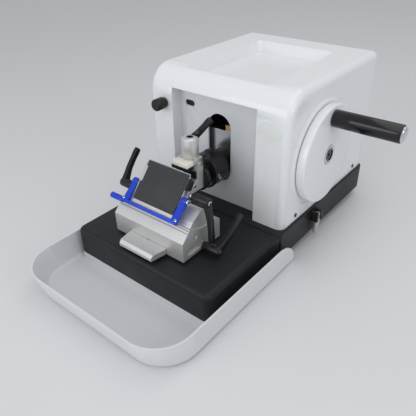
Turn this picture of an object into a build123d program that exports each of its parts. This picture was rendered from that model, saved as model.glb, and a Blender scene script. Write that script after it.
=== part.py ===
from build123d import *
import math
import os

# Rotary microtome with a disposable blade holder, in millimetres.
# X is to the right, Y to the back and Z up. Places are first set out from the middle of the
# front plate's front edge, on the table. The last step shifts every piece, so that the origin
# is at the bottom centre of the whole machine.

# Fits
slip = 0.3
shaft_play = 0.05
stand_off = 0.4

# Base casting
foot_height = 16.0
foot_radius = 17.0
foot_inset = 28.0
front_foot_y = 45.0
rear_foot_gap = 40.0
plate_width = 266.0
plate_thickness = 44.5
plate_corner_radius = 12.0
plate_edge_radius = 8.0
chassis_width = 270.0
chassis_front_y = 170.0
chassis_depth = 300.0
chassis_step = 2.0
chassis_corner_radius = 9.0
casting_wall = 9.0
cover_thickness = 2.0
cover_margin = 6.0

# Housing shell
housing_width = 262.0
housing_front_y = 181.5
housing_depth = 289.5
crown_rise = 115.0
crown_radius = 40.0
shell_edge_radius = 12.0
shell_wall = 3.5
recess_width = 160.0
recess_offset = -2.6
brow_height = 28.7
recess_depth = 21.3
jamb_wall = 3.0
store_width = 152.0
store_front_gap = 27.0
store_length = 207.0
store_depth = 18.0
store_corner_radius = 8.0
store_draft = 8.0
wheel_boss_radius = 85.0
wheel_boss_taper = 4.0
wheel_boss_height = 2.5
coarse_boss_radius = 40.0
coarse_boss_height = 2.0
housing_screw_radius = 3.5

# Front panel
panel_thickness = 3.0
slot_width = 44.0
slot_end_gap = 7.5
window_x = -63.5
window_drop = 26.5
window_width = 19.0
window_height = 9.5
lens_thickness = 1.5

# Drive
cut_x = -4.6
wheel_axis_y = 280.6
wheel_axis_rise = 96.7
stroke_radius = 30.0
rest_drop = 24.0
wheel_radius = 78.0
wheel_gap = 1.0
wheel_thickness = 13.4
wheel_edge_radius = 1.6
wheel_rim_width = 12.0
wheel_web = 7.0
hub_ring_radius = 15.0
hub_recess_radius = 11.5
hub_recess_depth = 5.0
main_shaft_radius = 10.0
bush_wall = 5.0
bush_length = 14.0
pedestal_start_x = 82.0
pedestal_length = 40.0
pedestal_wall = 11.0
pedestal_foot = 10.0
pedestal_foot_half = 42.0
pedestal_stem_half = 32.0
crank_disc_radius = 42.0
crank_disc_thickness = 12.0
crank_pin_radius = 6.0
counterweight_thickness = 11.0
grip_radius = 13.2
grip_length = 100.0
grip_crank = 59.8
spindle_radius = 6.0
cap_length = 4.0

# Wheel lock
lock_y = 276.0
lock_length = 41.0
lock_width = 9.0
lock_thickness = 6.5
lock_drop = 6.5
lock_pin_radius = 2.5
lock_ear = 4.0

# Vertical slide
carriage_width = 74.0
carriage_front_gap = 6.4
carriage_depth = 88.0
carriage_below = 36.0
carriage_above = 52.0
arm_radius = 20.0
yoke_rise = 3.2
guide_width = 14.0
moving_rail_thickness = 5.0
roller_gap = 5.0
roller_radius = 2.3
roller_pitch = 12.0
cheek_thickness = 14.0
cheek_depth = 24.0
guide_headroom = 12.7
frame_foot = 9.5
yoke_thickness = 9.0
yoke_wall = 8.0
shoe_length = 18.0
shoe_height = 19.4

# Feed
arm_tail = 126.0
screw_radius = 6.0
screw_bore_depth = 66.0
nut_radius = 15.0
nut_thickness = 8.0
bracket_reach = 52.0
bracket_plate = 8.0
ratchet_radius = 26.0
ratchet_teeth = 40
ratchet_tooth_depth = 2.0
ratchet_thickness = 8.0
feed_back = 10.0
coarse_y = 300.0
coarse_z_drop = 9.0
coarse_radius = 32.0
coarse_thickness = 13.0
coarse_shaft_radius = 6.0
coarse_knob_radius = 6.0
coarse_knob_length = 20.0
coarse_crank = 20.0
knob_x = -99.0
knob_radius = 9.5
knob_length = 21.0
knob_shaft_radius = 4.0
cam_radius = 22.0
cam_thickness = 6.0

# Specimen head
head_radius = 28.0
head_length = 30.0
head_gap = 12.8
ring_radius = 24.0
ring_hole_radius = 17.0
ring_width = 9.0
stem_radius = 13.0
trunnion_radius = 3.0
swivel_radius = 25.0
swivel_thickness = 12.0
clamp_width = 31.0
clamp_depth = 37.0
clamp_column = 13.0
clamp_below = 16.0
clamp_nose = 5.0
clamp_above = 38.0
jaw_opening = 17.0
jaw_opening_low = 4.0
upper_jaw_thickness = 12.0
post_radius = 13.0
post_height = 31.5
screw_head_radius = 5.0
screw_shank_radius = 3.0
jaw_travel = 9.0
tongue_half = 8.7
tongue_reach = 7.7
hex_across = 6.0

# Knife side
rail_stem_half = 25.0
rail_half = 36.0
rail_tip_half = 32.0
rail_stem_height = 5.5
rail_flange = 8.8
rail_front_y = 5.2
rail_length = 124.0
rail_bevel = 5.0
holder_front_y = 32.7
holder_depth = 82.3
holder_half = 68.0
holder_lift = 4.0
holder_face_height = 30.7
holder_rear_drop = 75.4
lip_drop = 60.3
rear_ledge = 11.0
edge_reach = 54.4
edge_height = 110.9
seat_radius = 70.8
bed_angle = 50.5
plate_bed_length = 61.7
plate_setback = 1.2
press_width = 78.4
press_thick_top = 0.6
press_thick_bottom = 2.6
blade_width = 8.0
blade_thickness = 0.25
bed_gap = 0.3
segment_outline = [(-36.6, -75.0), (-36.6, -59.9), (-35.6, -58.8), (-30.1, -52.8), (-12.1, -41.9),
                   (-6.8, -41.9), (-3.1, -47.4), (12.9, -65.4), (12.9, -75.0)]
wedge_outline = [(-39.5, -54.9), (-30.3, -52.2), (-12.2, -41.5), (-8.0, -41.5), (-7.4, -21.0),
                 (-3.4, -6.5)]
carriage_left = 43.4
carriage_right = 40.6
guard_arm_width = 9.5
guard_arm_length = 31.0
guard_pin_radius = 2.0
guard_bar_depth = 8.0
guard_bar_height = 4.5
guard_stub = 25.0

# Clamping levers
hub_radius = 7.0
lever_arm = 62.0
lever_rise = 7.0
lever_root_width = 12.0
lever_root_thickness = 8.0
lever_tip_radius = 4.8
lever_shaft_radius = 4.0

# Waste tray
tray_gap = 12.0
tray_offset = 3.5
tray_front_y = -105.5
tray_height = 48.0
tray_side_flare = 3.0
tray_front_flare = 14.0
tray_corner_radius = 55.0
tray_wall = 2.5
tray_bottom_radius = 9.0
tray_arm_end_y = 202.0
tray_lip = 8.0
tray_riser_y = 4.0
tray_shelf_height = 15.6
tray_shelf_depth = 20.0

# Levels and stations worked out from the sizes above
plate_top = foot_height + plate_thickness
chassis_top = plate_top + chassis_step
chassis_rear_y = chassis_front_y + chassis_depth
wheel_axis_z = chassis_top + wheel_axis_rise
housing_top = wheel_axis_z + crown_rise
store_underside = housing_top - store_depth - shell_wall
casting_half = min(plate_width, chassis_width) / 2
tray_half = plate_width / 2 + tray_gap
housing_rear_y = housing_front_y + housing_depth
housing_side = housing_width / 2
recess_left = recess_offset - recess_width / 2
recess_right = recess_offset + recess_width / 2
recess_top = housing_top - brow_height
panel_front_y = housing_front_y + recess_depth
panel_rear_y = panel_front_y + panel_thickness
window_z = recess_top - window_drop
yoke_z = wheel_axis_z - rest_drop
arm_z = yoke_z - yoke_rise
arm_mid_z = arm_z + rest_drop
slot_half = stroke_radius + arm_radius + slot_end_gap
boss_face_x = housing_side + wheel_boss_height
wheel_back_x = boss_face_x + wheel_gap
wheel_face_x = wheel_back_x + wheel_thickness
grip_z = wheel_axis_z + grip_crank
grip_start_x = wheel_face_x + 1.0
grip_end_x = grip_start_x + grip_length
carriage_front_y = panel_rear_y + carriage_front_gap
carriage_rear_y = carriage_front_y + carriage_depth
carriage_half = carriage_width / 2
rail_y = carriage_front_y + 2.0
cheek_half = carriage_half + 2 * moving_rail_thickness + roller_gap
yoke_x = cut_x + carriage_half
yoke_face_x = yoke_x + yoke_thickness
crank_pin_start_x = yoke_face_x + 0.5
crank_disc_x = crank_pin_start_x + 12.0
crank_pin_y = wheel_axis_y - math.sqrt(stroke_radius**2 - rest_drop**2)
head_rear_y = panel_front_y - head_gap
head_front_y = head_rear_y - head_length
ring_y = head_front_y + ring_width / 2 + 1.5
swivel_rear_y = head_front_y - 5.0
swivel_front_y = swivel_rear_y - swivel_thickness
clamp_front_y = swivel_front_y - clamp_depth
arm_rear_y = head_rear_y + arm_tail
screw_bracket_y = carriage_rear_y + bracket_reach - bracket_plate
clamp_low_z = arm_z - clamp_below
clamp_high_z = arm_z + clamp_above
opening_low_z = arm_z + jaw_opening_low
upper_jaw_z = clamp_high_z - upper_jaw_thickness
post_y = swivel_front_y - 10.0
lug_front_y = swivel_front_y - 4.0
column_front_y = swivel_front_y - clamp_column
edge_y = holder_front_y + edge_reach
edge_z = plate_top + edge_height
rail_top = plate_top + rail_stem_height + rail_flange
holder_bottom = plate_top + holder_lift
holder_left = cut_x - holder_half
holder_right = cut_x + holder_half
coarse_z = wheel_axis_z - coarse_z_drop
coarse_back_x = -housing_side - coarse_boss_height - 1.0
lock_x = chassis_width / 2
lock_top_z = chassis_top - lock_drop
lock_pin_x = lock_x + 8.5
lock_pin_z = lock_top_z - 6
base_lever_y = holder_front_y + 43.5
base_lever_z = holder_bottom + 6.0
tilt_lever_y = edge_y - 12.0
tilt_lever_z = edge_z - 50.0
jaw_lever_x = cut_x - 10.5
jaw_lever_z = clamp_high_z + 18.0
coarse_bush_radius = coarse_shaft_radius + 4.0
knob_bush_radius = knob_shaft_radius + 3.0


def block(x0, x1, y0, y1, z0, z1):
    """A box between two corners."""
    centre = Pos((x0 + x1) / 2, (y0 + y1) / 2, (z0 + z1) / 2)
    return centre * Box(x1 - x0, y1 - y0, z1 - z0)


def stand(axis, a, b):
    """The turn and shift that takes the Z axis onto a line along X, Y or Z."""
    if axis == "x":
        return Pos(0, a, b) * Rot(0, 90, 0)
    if axis == "y":
        return Pos(a, 0, b) * Rot(-90, 0, 0)
    return Pos(a, b, 0)


def rod(axis, radius, start, end, a, b):
    """A round bar along one axis. a and b are the other two coordinates of its line."""
    return stand(axis, a, b) * Pos(0, 0, (start + end) / 2) * Cylinder(radius, end - start)


def turned(axis, outline, a, b):
    """A turned piece from an outline of (radius, station) points."""
    profile = Plane.XZ * Polygon(*outline, align=None)
    return stand(axis, a, b) * revolve(profile, Axis.Z)


def tube(axis, outer, inner, start, end, a, b):
    return rod(axis, outer, start, end, a, b) - rod(axis, inner, start - 1, end + 1, a, b)


def side_prism(points, x0, x1):
    """A bar along X with a side view of (y, z) points."""
    outline = Plane.YZ.offset(x0) * Polygon(*points, align=None)
    return extrude(outline, x1 - x0, dir=(1, 0, 0))


def group(pieces):
    """Separate solids kept together as one piece."""
    return Compound([solid for piece in pieces for solid in piece.solids()])


def upright_edges(body):
    return body.edges().filter_by(Axis.Z)


def bed_point(down, out):
    """A point of the blade bed: distance down the slope from the cutting edge, and above it."""
    slope = math.radians(bed_angle)
    y = edge_y - down * math.cos(slope) - out * math.sin(slope)
    z = edge_z - down * math.sin(slope) + out * math.cos(slope)
    return (y, z)


def base_casting():
    plate = block(-plate_width / 2, plate_width / 2, 0, housing_front_y, foot_height, plate_top)
    front_corners = upright_edges(plate).group_by(Axis.Y)[0]
    plate = fillet(front_corners, plate_corner_radius)
    plate = fillet(plate.faces().sort_by(Axis.Z)[-1].edges(), plate_edge_radius)
    chassis = block(-chassis_width / 2, chassis_width / 2, chassis_front_y, chassis_rear_y,
                    foot_height, chassis_top)
    chassis = fillet(upright_edges(chassis), chassis_corner_radius)
    chassis = fillet(chassis.faces().sort_by(Axis.Z)[-1].edges(), 2.0)
    casting = plate + chassis
    ceiling = plate_top - casting_wall
    rib = casting_wall
    inner = casting_half - casting_wall
    cells = [(casting_wall, chassis_front_y - rib / 2)]
    cell_depth = (chassis_depth - casting_wall - rib) / 2
    cells.append((chassis_front_y + rib / 2, chassis_front_y + rib / 2 + cell_depth - rib / 2))
    cells.append((cells[-1][1] + rib, chassis_rear_y - casting_wall))
    for front, rear in cells:
        for left, right in ((-inner, -rib / 2), (rib / 2, inner)):
            pocket = block(left, right, front, rear, foot_height - 1, ceiling)
            casting -= fillet(upright_edges(pocket), 6.0)
    return casting - base_cover(0.0)


def base_cover(gap):
    """The sheet that closes the casting below, let in flush with its underside."""
    half = casting_half - cover_margin - gap
    front = cover_margin + gap
    rear = chassis_rear_y - cover_margin - gap
    return block(-half, half, front, rear, foot_height, foot_height + cover_thickness)


def foot_places():
    x = plate_width / 2 - foot_inset
    rear = chassis_rear_y - rear_foot_gap
    return [(-x, front_foot_y), (x, front_foot_y), (-x, rear), (x, rear)]


def rubber_foot(x, y):
    outline = [(0, 0), (foot_radius - 3, 0), (foot_radius, 3), (foot_radius - 2, foot_height),
               (0, foot_height)]
    return turned("z", outline, x, y)


def casing(inset):
    """The housing's outer form, or the same form set in by a wall."""
    half = housing_side - inset
    body = block(-half, half, housing_front_y + inset, housing_rear_y - inset, chassis_top,
                 housing_top - inset)
    along_x = body.edges().filter_by(Axis.X)
    front_top = along_x.sort_by(lambda e: e.center().Z - e.center().Y)[-1]
    body = fillet(front_top, crown_radius - inset)
    soft = [e for e in body.edges()
            if abs(abs(e.center().X) - half) < 0.1 and e.center().Z > chassis_top + 1]
    rear_top = body.edges().filter_by(Axis.X).sort_by(lambda e: e.center().Z + e.center().Y)[-1]
    return fillet(soft + [rear_top], shell_edge_radius - inset)


def storage_form(spread, depth):
    """The sunken tray in the housing's top, wider at its rim than at its floor."""
    front = housing_front_y + store_front_gap
    middle = front + store_length / 2
    rim = Plane.XY.offset(housing_top + 1) * Pos(0, middle) * RectangleRounded(
        store_width + 2 * spread, store_length + 2 * spread, store_corner_radius + spread)
    shrink = 2 * (spread - store_draft)
    floor = Plane.XY.offset(housing_top - depth) * Pos(0, middle) * RectangleRounded(
        store_width + shrink, store_length + shrink, store_corner_radius)
    return loft([floor, rim])


def housing_shell():
    outer = casing(0.0)
    shell = outer - casing(shell_wall)
    store_wall = storage_form(shell_wall, store_depth + shell_wall) & outer
    jamb = block(recess_left - jamb_wall, recess_right + jamb_wall, housing_front_y,
                 panel_front_y, chassis_top, recess_top + jamb_wall) & outer
    shell = shell + store_wall + jamb
    shell -= storage_form(0.0, store_depth)
    shell -= block(recess_left, recess_right, housing_front_y - 1, panel_front_y + 1,
                   chassis_top - 1, recess_top)
    shell += turned("x", [(0, housing_side - shell_wall), (wheel_boss_radius, housing_side - 1),
                          (wheel_boss_radius, housing_side),
                          (wheel_boss_radius - wheel_boss_taper, boss_face_x),
                          (0, boss_face_x)], wheel_axis_y, wheel_axis_z)
    shell += turned("x", [(0, -housing_side + shell_wall),
                          (coarse_boss_radius, -housing_side + 1),
                          (coarse_boss_radius - 1, -housing_side - coarse_boss_height),
                          (0, -housing_side - coarse_boss_height)], coarse_y, coarse_z)
    shell -= rod("x", main_shaft_radius + 2, housing_side - 10, boss_face_x + 1, wheel_axis_y,
                 wheel_axis_z)
    shell -= rod("x", coarse_bush_radius, -housing_side - 10, -housing_side + 10, coarse_y,
                 coarse_z)
    shell -= rod("y", knob_bush_radius, housing_front_y - 1, housing_front_y + 10, knob_x,
                 window_z)
    for x, y, z in housing_screw_places():
        shell -= rod("x", housing_screw_radius, min(x, x * 0.9), max(x, x * 0.9), y, z)
    return shell


def housing_screw_places():
    low = chassis_top + 10.0
    stations = (housing_front_y + 40.0, housing_rear_y - 40.0)
    return [(side * housing_side, y, low) for side in (-1, 1) for y in stations]


def housing_screw(x, y, z):
    side = math.copysign(1, x)
    outer = side * (housing_side + 0.8)
    inner = side * (housing_side - shell_wall - 6)
    screw = rod("x", housing_screw_radius, min(outer, inner), max(outer, inner), y, z)
    socket = outer - side * 2
    return screw - rod("x", 1.6, min(outer, socket), max(outer, socket) + 0.01, y, z)


def front_panel():
    panel = block(recess_left - jamb_wall, recess_right + jamb_wall, panel_front_y, panel_rear_y,
                  chassis_top, recess_top + jamb_wall)
    face = Plane.XZ.offset(-panel_rear_y - 1)
    slot = Pos(cut_x, arm_mid_z) * SlotOverall(2 * slot_half, slot_width, rotation=90)
    window = Pos(window_x, window_z) * SlotOverall(window_width, window_height)
    depth = panel_thickness + 2
    opening = extrude(face * slot, depth, dir=(0, -1, 0))
    return panel - opening - extrude(face * window, depth, dir=(0, -1, 0))


def window_lens():
    outline = Pos(window_x, window_z) * SlotOverall(window_width + 6, window_height + 6)
    face = Plane.XZ.offset(-panel_rear_y) * outline
    return extrude(face, lens_thickness, dir=(0, 1, 0))


def bearing_pedestal():
    outer = main_shaft_radius + bush_wall + pedestal_wall
    end_x = pedestal_start_x + pedestal_length
    foot = block(pedestal_start_x, end_x, wheel_axis_y - pedestal_foot_half,
                 wheel_axis_y + pedestal_foot_half, chassis_top, chassis_top + pedestal_foot)
    stem = side_prism([(wheel_axis_y - pedestal_stem_half, chassis_top),
                       (wheel_axis_y + pedestal_stem_half, chassis_top),
                       (wheel_axis_y + outer - 4, wheel_axis_z),
                       (wheel_axis_y - outer + 4, wheel_axis_z)],
                      pedestal_start_x + 8, end_x - 8)
    barrel = rod("x", outer, pedestal_start_x, end_x, wheel_axis_y, wheel_axis_z)
    bore = rod("x", main_shaft_radius + bush_wall, pedestal_start_x - 1, end_x + 1,
               wheel_axis_y, wheel_axis_z)
    return foot + stem + barrel - bore


def shaft_bushes():
    outer = main_shaft_radius + bush_wall
    inner = main_shaft_radius + shaft_play
    end_x = pedestal_start_x + pedestal_length
    spans = ((pedestal_start_x, pedestal_start_x + bush_length), (end_x - bush_length, end_x))
    return group([tube("x", outer, inner, a, b, wheel_axis_y, wheel_axis_z) for a, b in spans])


def main_shaft():
    return rod("x", main_shaft_radius, crank_disc_x, wheel_face_x - hub_recess_depth - 2,
               wheel_axis_y, wheel_axis_z)


def handwheel_disc():
    rim = wheel_radius - wheel_edge_radius
    outline = [(0, wheel_back_x), (rim, wheel_back_x), (wheel_radius, wheel_back_x + 1.6),
               (wheel_radius, wheel_face_x - wheel_edge_radius), (rim, wheel_face_x),
               (0, wheel_face_x)]
    wheel = turned("x", outline, wheel_axis_y, wheel_axis_z)
    hollow = tube("x", wheel_radius - wheel_rim_width, main_shaft_radius + 14, wheel_back_x - 1,
                  wheel_face_x - wheel_web, wheel_axis_y, wheel_axis_z)
    spindle_boss = rod("x", spindle_radius + 8, wheel_back_x, wheel_face_x, wheel_axis_y, grip_z)
    wheel -= hollow - spindle_boss
    wheel -= rod("x", hub_ring_radius, wheel_face_x - hub_recess_depth, wheel_face_x + 1,
                 wheel_axis_y, wheel_axis_z)
    wheel -= rod("x", main_shaft_radius, wheel_back_x - 1, wheel_face_x - hub_recess_depth - 2,
                 wheel_axis_y, wheel_axis_z)
    wheel -= rod("x", 4.0, wheel_back_x, wheel_face_x, wheel_axis_y, wheel_axis_z)
    return wheel - rod("x", spindle_radius, wheel_back_x + 3, wheel_face_x + 1, wheel_axis_y,
                       grip_z)


def wheel_hub_ring():
    return tube("x", hub_ring_radius, hub_recess_radius, wheel_face_x - hub_recess_depth,
                wheel_face_x + 0.4, wheel_axis_y, wheel_axis_z)


def hex_socket(axis, start, end, a, b):
    hexagon = extrude(RegularPolygon(hex_across / math.sqrt(3), 6), end - start)
    return stand(axis, a, b) * Pos(0, 0, start) * hexagon


def wheel_screw():
    floor = wheel_face_x - hub_recess_depth
    head = rod("x", 8.0, floor, wheel_face_x - 0.5, wheel_axis_y, wheel_axis_z)
    shank = rod("x", 4.0, floor - 2, floor, wheel_axis_y, wheel_axis_z)
    return head + shank - hex_socket("x", floor + 1.5, wheel_face_x + 1, wheel_axis_y,
                                     wheel_axis_z)


def crank_disc():
    disc = rod("x", crank_disc_radius, crank_disc_x, crank_disc_x + crank_disc_thickness,
               wheel_axis_y, wheel_axis_z)
    disc -= rod("x", main_shaft_radius, crank_disc_x - 1, crank_disc_x + crank_disc_thickness + 1,
                wheel_axis_y, wheel_axis_z)
    return disc - rod("x", crank_pin_radius, crank_disc_x - 1,
                      crank_disc_x + crank_disc_thickness + 1, crank_pin_y, yoke_z)


def crank_pin():
    return rod("x", crank_pin_radius, crank_pin_start_x, crank_disc_x + crank_disc_thickness,
               crank_pin_y, yoke_z)


def counterweight():
    start = crank_disc_x + crank_disc_thickness
    ring = tube("x", crank_disc_radius, main_shaft_radius + 8, start,
                start + counterweight_thickness, wheel_axis_y, wheel_axis_z)
    upper_half = block(start - 1, start + counterweight_thickness + 1, wheel_axis_y - 50,
                       wheel_axis_y + 50, wheel_axis_z + 2, wheel_axis_z + 60)
    return ring & upper_half


def handle_spindle():
    return rod("x", spindle_radius, wheel_back_x + 3, grip_end_x, wheel_axis_y, grip_z)


def handle_grip():
    r = grip_radius
    outline = [(spindle_radius + shaft_play, grip_start_x), (r - 2.2, grip_start_x),
               (r - 0.5, grip_start_x + 1.6), (r, grip_start_x + 5), (r, grip_end_x - 5),
               (r - 0.6, grip_end_x - 1.8), (r - 2.6, grip_end_x),
               (spindle_radius + shaft_play, grip_end_x)]
    return turned("x", outline, wheel_axis_y, grip_z)


def grip_end_cap():
    r = grip_radius - 3.2
    outline = [(0, grip_end_x), (r, grip_end_x), (r, grip_end_x + 1.5),
               (r * 0.8, grip_end_x + cap_length - 0.8), (0, grip_end_x + cap_length)]
    return turned("x", outline, wheel_axis_y, grip_z)


def lock_bracket():
    inner = lock_width / 2 + slip
    ears = [block(lock_x, lock_x + 13.5, y, y + lock_ear, lock_top_z - 16, lock_top_z + 2)
            for y in (lock_y - inner - lock_ear, lock_y + inner)]
    back = block(lock_x, lock_x + 2.5, lock_y - inner - lock_ear, lock_y + inner + lock_ear,
                 lock_top_z - 16, lock_top_z + 2)
    bracket = back + ears[0] + ears[1]
    return bracket - rod("y", lock_pin_radius, lock_y - 20, lock_y + 20, lock_pin_x, lock_pin_z)


def lock_pin():
    half = lock_width / 2 + slip + lock_ear
    return rod("y", lock_pin_radius, lock_y - half, lock_y + half, lock_pin_x, lock_pin_z)


def wheel_lock_lever():
    bar = block(lock_pin_x - lock_thickness / 2, lock_pin_x + lock_thickness / 2,
                lock_y - lock_width / 2, lock_y + lock_width / 2, lock_top_z - lock_length,
                lock_top_z - 1)
    bar = fillet(bar.edges().filter_by(Axis.Y), 2.2)
    return bar - rod("y", lock_pin_radius + shaft_play, lock_y - 20, lock_y + 20, lock_pin_x,
                     lock_pin_z)


def guide_frame():
    bottom = chassis_top
    top = store_underside - guide_headroom
    inner = cheek_half
    outer = inner + cheek_thickness
    front = carriage_front_y
    foot = block(cut_x - outer, cut_x + outer, front, front + 70, bottom, bottom + frame_foot)
    frame = foot
    for side in (-1, 1):
        near, far = sorted((cut_x + side * inner, cut_x + side * outer))
        frame += block(near, far, front, front + cheek_depth, bottom, top)
        gusset = [(front + cheek_depth, bottom + frame_foot), (front + 66, bottom + frame_foot),
                  (front + cheek_depth, bottom + 60)]
        if side < 0:
            frame += side_prism(gusset, near, far)
    return frame


def guide_rails(inner, outer, low, high):
    rails = []
    for side in (-1, 1):
        near, far = sorted((cut_x + side * inner, cut_x + side * outer))
        rails.append(block(near, far, rail_y, rail_y + guide_width, low, high))
    return group(rails)


def fixed_guide_rails():
    inner = carriage_half + moving_rail_thickness + roller_gap
    return guide_rails(inner, cheek_half, chassis_top + frame_foot + 4,
                       store_underside - guide_headroom - 4)


def moving_guide_rails():
    return guide_rails(carriage_half, carriage_half + moving_rail_thickness,
                       arm_z - carriage_below + 2, arm_z + carriage_above - 2)


def guide_rollers():
    low = arm_z - carriage_below + 8
    count = int((carriage_below + carriage_above - 12) // roller_pitch)
    rollers = []
    for side in (-1, 1):
        x = cut_x + side * (carriage_half + moving_rail_thickness + roller_radius + shaft_play)
        for i in range(count):
            rollers.append(rod("y", roller_radius, rail_y + 2, rail_y + guide_width - 2, x,
                               low + i * roller_pitch))
    return group(rollers)


def slide_carriage():
    body = block(cut_x - carriage_half, cut_x + carriage_half, carriage_front_y, carriage_rear_y,
                 arm_z - carriage_below, arm_z + carriage_above)
    body = chamfer(body.edges().filter_by(Axis.Y), 3.0)
    bore = rod("y", arm_radius + shaft_play, carriage_front_y - 1, carriage_rear_y + 1, cut_x,
               arm_z)
    return body - bore


def brass_wiper():
    top = arm_z + carriage_above
    return block(cut_x + 4, cut_x + 20, carriage_front_y + 2, carriage_front_y + 14, top,
                 top + 9)


def yoke_slot(gap):
    reach = stroke_radius + shoe_length / 2 + 0.5
    half = shoe_height / 2 + gap
    return (wheel_axis_y - reach, wheel_axis_y + reach, yoke_z - half, yoke_z + half)


def yoke_plate():
    y0, y1, z0, z1 = yoke_slot(slip)
    wall = yoke_wall
    front = max(y0 - 5, rail_y + guide_width + 2)
    plate = block(yoke_x, yoke_face_x, front, y1 + wall, z0 - wall, z1 + wall)
    plate = fillet(plate.edges().filter_by(Axis.X), 3.0)
    return plate - block(yoke_x + 1.0, yoke_face_x + 1, y0, y1, z0, z1)


def yoke_shoe():
    half = shoe_length / 2
    shoe = block(yoke_x + 1.0 + slip, yoke_face_x - 0.4, crank_pin_y - half, crank_pin_y + half,
                 yoke_z - shoe_height / 2, yoke_z + shoe_height / 2)
    return shoe - rod("x", crank_pin_radius + shaft_play, yoke_face_x - 3, yoke_face_x + 1,
                      crank_pin_y, yoke_z)


def feed_cylinder():
    arm = rod("y", arm_radius, head_rear_y, arm_rear_y, cut_x, arm_z)
    return arm - rod("y", screw_radius + 0.5, arm_rear_y - screw_bore_depth, arm_rear_y + 1,
                     cut_x, arm_z)


def feed_nut():
    return tube("y", nut_radius, screw_radius + shaft_play, arm_rear_y,
                arm_rear_y + nut_thickness, cut_x, arm_z)


def feed_screw():
    rear = screw_bracket_y + bracket_plate + ratchet_thickness + 8
    return rod("y", screw_radius, arm_rear_y - screw_bore_depth + feed_back + 4, rear, cut_x,
               arm_z)


def screw_bracket():
    plate = block(cut_x - carriage_half, cut_x + carriage_half, screw_bracket_y,
                  screw_bracket_y + bracket_plate, arm_z - 16, arm_z + 16)
    bracket = plate
    for side in (-1, 1):
        near, far = sorted((cut_x + side * (carriage_half - 9), cut_x + side * carriage_half))
        bracket += block(near, far, carriage_rear_y, screw_bracket_y, arm_z - 16, arm_z + 16)
    return bracket - rod("y", screw_radius + shaft_play, screw_bracket_y - 1,
                         screw_bracket_y + bracket_plate + 1, cut_x, arm_z)


def ratchet_wheel():
    """Saw teeth, steep on one flank, round the rear end of the feed screw."""
    start = screw_bracket_y + bracket_plate + stand_off
    outline = []
    for i in range(ratchet_teeth):
        angle = 2 * math.pi * i / ratchet_teeth
        for radius in (ratchet_radius, ratchet_radius - ratchet_tooth_depth):
            outline.append((radius * math.cos(angle), radius * math.sin(angle)))
    blank = extrude(Polygon(*outline, align=None), ratchet_thickness, dir=(0, 0, 1))
    blank -= Pos(0, 0, ratchet_thickness / 2) * Cylinder(screw_radius, ratchet_thickness + 2)
    return stand("y", cut_x, arm_z) * Pos(0, 0, start) * blank


def pawl_pivot():
    return (cut_x - 27.0, arm_z + 26.0)


def ratchet_pawl():
    """A short arm that rests on the ratchet's teeth under a light spring."""
    x, z = pawl_pivot()
    start = screw_bracket_y + bracket_plate + stand_off + 1
    end = start + ratchet_thickness - 2
    tip = ratchet_radius + 0.6
    angle = math.radians(114)
    tip_x = cut_x + tip * math.cos(angle)
    tip_z = arm_z + tip * math.sin(angle)
    outline = [(x - 4, z - 3), (tip_x, tip_z), (tip_x + 1.5, tip_z + 4), (x - 2, z + 5)]
    face = Plane.XZ.offset(-start) * Polygon(*outline, align=None)
    arm = extrude(face, end - start, dir=(0, 1, 0)) + rod("y", 5.5, start, end, x, z)
    return arm - rod("y", 3.0 + shaft_play, start - 1, end + 1, x, z)


def pawl_post():
    """The pawl's pivot, on an ear that stands on the screw bracket."""
    x, z = pawl_pivot()
    ear = block(x - 6, x + 6, screw_bracket_y, screw_bracket_y + bracket_plate, arm_z + 16,
                z + 6)
    pin = rod("y", 3.0, screw_bracket_y + bracket_plate,
              screw_bracket_y + bracket_plate + stand_off + ratchet_thickness + 1, x, z)
    return ear + pin


def coarse_wheel():
    front = coarse_back_x - coarse_thickness
    r = coarse_radius
    outline = [(0, front), (r - 2, front), (r, front + 2), (r, coarse_back_x - 2),
               (r - 2, coarse_back_x), (0, coarse_back_x)]
    wheel = turned("x", outline, coarse_y, coarse_z)
    for i in range(24):
        angle = 2 * math.pi * i / 24
        wheel -= rod("x", 1.6, front - 1, coarse_back_x + 1, coarse_y + (r + 0.6) *
                     math.cos(angle), coarse_z + (r + 0.6) * math.sin(angle))
    wheel -= rod("x", r - 4, front - 1, front + 3, coarse_y, coarse_z)
    return wheel - rod("x", coarse_shaft_radius, front + 5, coarse_back_x + 1, coarse_y, coarse_z)


def coarse_shaft():
    return rod("x", coarse_shaft_radius, coarse_back_x - coarse_thickness + 5,
               -housing_side + shell_wall + 30, coarse_y, coarse_z)


def coarse_bush():
    inner = coarse_shaft_radius + shaft_play
    outer = coarse_bush_radius
    face = -housing_side - coarse_boss_height
    end = -housing_side + shell_wall + 24
    bush = tube("x", outer, inner, face, end, coarse_y, coarse_z)
    collar_start = -housing_side + shell_wall + stand_off
    return bush + tube("x", outer + 5, outer - 1, collar_start, collar_start + 5, coarse_y,
                       coarse_z)


def coarse_knob():
    face = coarse_back_x - coarse_thickness + 3
    end = face - coarse_knob_length
    r = coarse_knob_radius
    outline = [(0, face), (r - 2, face), (r - 2, face - 3), (r, face - 7), (r, end + 2),
               (r - 2, end), (0, end)]
    return turned("x", outline, coarse_y, coarse_z + coarse_crank)


def thickness_knob():
    front = housing_front_y - 1.0 - knob_length
    rear = housing_front_y - 1.0
    r = knob_radius
    outline = [(0, front), (r - 1.5, front), (r, front + 1.5), (r, rear - 4), (r - 1.5, rear - 3),
               (r - 1.5, rear), (0, rear)]
    knob = turned("y", outline, knob_x, window_z)
    for i in range(18):
        angle = 2 * math.pi * i / 18
        knob -= rod("y", 0.9, front - 1, rear - 5, knob_x + (r + 0.35) * math.cos(angle),
                    window_z + (r + 0.35) * math.sin(angle))
    return knob - rod("y", knob_shaft_radius, front + 5, rear + 1, knob_x, window_z)


def thickness_shaft():
    return rod("y", knob_shaft_radius, housing_front_y + 4 - knob_length, panel_rear_y + 16,
               knob_x, window_z)


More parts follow.
